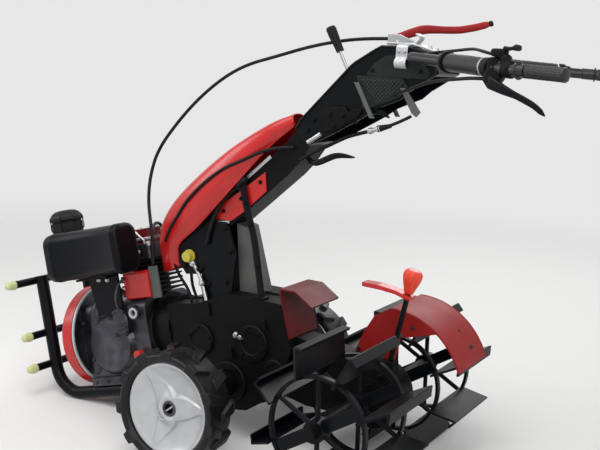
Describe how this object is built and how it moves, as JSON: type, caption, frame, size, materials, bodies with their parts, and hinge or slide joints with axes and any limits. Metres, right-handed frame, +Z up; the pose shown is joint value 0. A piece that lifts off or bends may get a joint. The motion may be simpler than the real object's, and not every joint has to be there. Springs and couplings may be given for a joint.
{
  "type": "walking tractor",
  "caption": "Walking tractor with a front diesel engine, rubber drive wheels, a driven rear axle with open cage wheels, handlebars, a bumper frame and a red hood",
  "frame": {"origin": "on the floor, at the middle of the whole outline seen from above", "axes": "+X forward to the bumper, +Y to the machine's left, +Z up"},
  "size_m": [1.6442, 0.6922, 1.1454],
  "materials": {
    "bare_steel": "bright bare steel",
    "black_casting": "black painted casting",
    "black_paint": "black paint, half gloss",
    "black_panel": "grey-black paint, satin",
    "black_plastic": "matt black moulding",
    "cable_black": "black cable sheath",
    "dark_red": "dark red paint",
    "grey_casting": "bare grey casting",
    "grey_paint": "light grey paint",
    "grip_rubber": "matt black rubber",
    "hose_grey": "grey hose",
    "orange_knob": "orange-red moulding",
    "orange_red": "orange-red gloss paint",
    "pale_cap": "pale yellow-green moulding",
    "red_cap": "red moulding",
    "red_paint": "bright red gloss paint",
    "silver_paint": "silver-white paint, half gloss",
    "tyre": "matt black rubber",
    "yellow_plug": "yellow moulding"
  },
  "bodies": {
    "chassis": {"engine_block": "grey_casting", "recoil_cover": "orange_red", "cylinder_fins": "grey_casting", "cylinder_head": "grey_casting", "rocker_cover": "dark_red", "blower_shroud": "red_paint", "muffler": "black_paint", "muffler_bracket": "black_paint", "air_cleaner": "black_plastic", "injector_pipe": "bare_steel", "throttle_plate": "grey_paint", "oil_cap": "red_cap", "bumper_frame": "black_paint", "bumper_bars": "black_paint", "bumper_caps": "pale_cap", "clutch_bell": "black_casting", "gearbox_housing": "black_casting", "axle_tubes": "black_casting", "rotor_case": "black_casting", "drive_arm": "black_casting", "column_bracket": "black_paint", "oil_plug": "yellow_plug", "shift_cover": "grey_paint", "handle_column": "black_paint", "column_head": "black_paint", "head_panels": "black_panel", "head_struts": "grey_paint", "side_panels": "red_paint", "hood": "red_paint", "handle_arm_left": "black_paint", "handle_arm_right": "black_paint", "grips": "grip_rubber", "gear_lever": "bare_steel", "gear_grip": "grip_rubber", "brake_lever": "black_paint", "clutch_lever": "red_paint", "throttle_lever": "black_plastic", "lever_perches": "black_plastic", "lever_bracket": "bare_steel", "latch_levers": "black_paint", "link_rod": "bare_steel", "fender_right": "red_paint", "guard_left": "red_paint", "depth_post": "black_paint", "depth_knob": "orange_knob", "step_lever": "red_paint", "loop_cable": "cable_black", "hood_cable": "cable_black", "clutch_hose": "hose_grey", "perch_cable": "cable_black", "adjuster_cable": "cable_black", "throttle_cable": "cable_black"},
    "left_wheel": {"tyre_left": "tyre", "wheel_disc_left": "silver_paint"},
    "right_wheel": {"tyre_right": "tyre", "wheel_disc_right": "silver_paint"},
    "rotor": {"rotor_shaft": "black_casting", "cage_wheel_left": "black_paint", "cage_wheel_right": "black_paint"}
  },
  "joints": [
    {"name": "left_wheel_spin", "type": "hinge", "parent": "chassis", "child": "left_wheel", "pos_m": [0.114, 0.3, 0.15], "axis": [0, 1, 0], "continuous": true},
    {"name": "right_wheel_spin", "type": "hinge", "parent": "chassis", "child": "right_wheel", "pos_m": [0.114, -0.3, 0.15], "axis": [0, 1, 0], "continuous": true},
    {"name": "rotor_spin", "type": "hinge", "parent": "chassis", "child": "rotor", "pos_m": [-0.291, 0, 0.18016], "axis": [0, 1, 0], "continuous": true}
  ]
}
